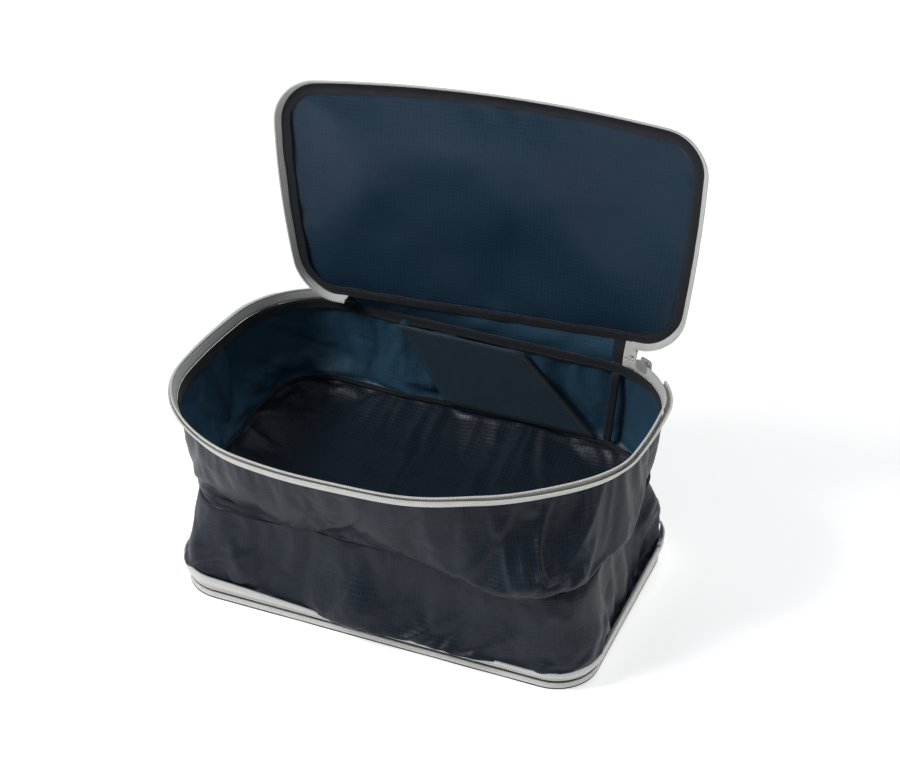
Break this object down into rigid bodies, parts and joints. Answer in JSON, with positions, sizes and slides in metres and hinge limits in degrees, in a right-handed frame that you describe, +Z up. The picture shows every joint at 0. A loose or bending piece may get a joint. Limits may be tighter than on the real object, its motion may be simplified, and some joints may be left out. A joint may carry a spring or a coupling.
{
  "type": "two-compartment packing laundry bag",
  "caption": "Soft ripstop laundry bag with a zip-round lid standing open, a sewn divider, a zip-round bottom cover and a compression zip.",
  "frame": {"origin": "on the floor under the middle of the bottom cover", "axes": "+Z up out of the bag's mouth, +X to the right along its long side, +Y towards the lid's hinge"},
  "size_m": [0.34, 0.2203, 0.3636],
  "materials": {
    "charcoal_shell": "coated ripstop with a soft sheen",
    "charcoal_divider": "coated ripstop with a soft sheen",
    "navy_ripstop": "ripstop with a soft sheen",
    "sheer_grey_mesh": "sheer woven",
    "black_binding": "matt woven tape",
    "grey_zip_tape": "woven zip tape",
    "grey_zip_coil": "nylon coil",
    "grey_slider_paint": "satin paint",
    "pull_polymer": "satin"
  },
  "bodies": {
    "lower_frame": {"bottom_zip_wall_coil": "grey_zip_coil", "bottom_zip_wall_tape": "grey_zip_tape", "bottom_hinge_strip": "charcoal_shell", "foot_binding": "black_binding", "compression_zip_foot_tape": "grey_zip_tape", "compression_zip_foot_coil": "grey_zip_coil", "compression_zip_stops": "grey_slider_paint", "lower_wall": "charcoal_shell"},
    "bottom_cover": {"bottom_cover_panel": "charcoal_shell", "bottom_cover_binding": "black_binding", "bottom_zip_cover_tape": "grey_zip_tape", "bottom_zip_cover_coil": "grey_zip_coil"},
    "divider": {"divider_panel": "charcoal_divider", "mid_seam_binding": "black_binding"},
    "rim": {"upper_wall": "charcoal_shell", "rim_binding": "black_binding", "lid_zip_rim_tape": "grey_zip_tape", "lid_zip_rim_coil": "grey_zip_coil", "lid_zip_stops": "grey_slider_paint", "compression_zip_rim_tape": "grey_zip_tape", "compression_zip_rim_coil": "grey_zip_coil", "hinge_strip": "navy_ripstop", "hinge_tab_left": "black_binding", "hinge_tab_right": "black_binding", "wall_seam_ribbon": "black_binding", "back_pocket": "sheer_grey_mesh", "back_pocket_binding": "black_binding"},
    "lid": {"lid_panel": "navy_ripstop", "lid_binding": "black_binding", "lid_zip_lid_tape": "grey_zip_tape", "lid_zip_lid_coil": "grey_zip_coil"},
    "lid_slider": {"lid_zip_slider": "grey_slider_paint"},
    "lid_slider_pull": {"lid_zip_pull": "pull_polymer"},
    "compression_slider": {"compression_zip_slider": "grey_slider_paint"},
    "compression_slider_pull": {"compression_zip_pull": "pull_polymer"},
    "bottom_slider": {"bottom_zip_slider": "grey_slider_paint"},
    "bottom_slider_pull": {"bottom_zip_pull": "pull_polymer"}
  },
  "joints": [
    {"name": "lid_hinge", "type": "hinge", "parent": "rim", "child": "lid", "pos_m": [0, 0.0986, 0.171], "axis": [1, 0, 0], "range_deg": [-112, 92]},
    {"name": "divider_drop", "type": "slide", "parent": "lower_frame", "child": "divider", "axis": [0, 0, -1], "range_m": [0, 0.056], "deforming": ["lower_wall"]},
    {"name": "rim_drop", "type": "slide", "parent": "divider", "child": "rim", "axis": [0, 0, -1], "range_m": [0, 0.056], "deforming": ["upper_wall", "wall_seam_ribbon", "back_pocket", "back_pocket_binding"]},
    {"name": "bottom_cover_hinge", "type": "hinge", "parent": "lower_frame", "child": "bottom_cover", "pos_m": [0, 0.0986, 0.0006], "axis": [1, 0, 0], "range_deg": [0, 95]},
    {"name": "lid_slider_travel", "type": "slide", "parent": "rim", "child": "lid_slider", "axis": [-0.8829, 0.4695, 0], "range_m": [0, 0.004]},
    {"name": "lid_pull_swing", "type": "hinge", "parent": "lid_slider", "child": "lid_slider_pull", "pos_m": [0.1355, 0.09518, 0.1576], "axis": [0.8829, -0.4695, 0], "range_deg": [-5, 110]},
    {"name": "compression_slider_travel", "type": "slide", "parent": "lower_frame", "child": "compression_slider", "axis": [0, -1, 0], "range_m": [0, 0.08]},
    {"name": "compression_pull_swing", "type": "hinge", "parent": "compression_slider", "child": "compression_slider_pull", "pos_m": [-0.1677, 0.028, 0.023], "axis": [0, 1, 0], "range_deg": [-5, 150]},
    {"name": "bottom_slider_travel", "type": "slide", "parent": "lower_frame", "child": "bottom_slider", "axis": [0, -1, 0], "range_m": [0, 0.1]},
    {"name": "bottom_pull_swing", "type": "hinge", "parent": "bottom_slider", "child": "bottom_slider_pull", "pos_m": [-0.1641, 0.048, 0.0067], "axis": [0, 0, -1], "range_deg": [-5, 150]}
  ],
  "couplings": [
    {"joint": "rim_drop", "follows": "divider_drop", "ratio": 1}
  ]
}
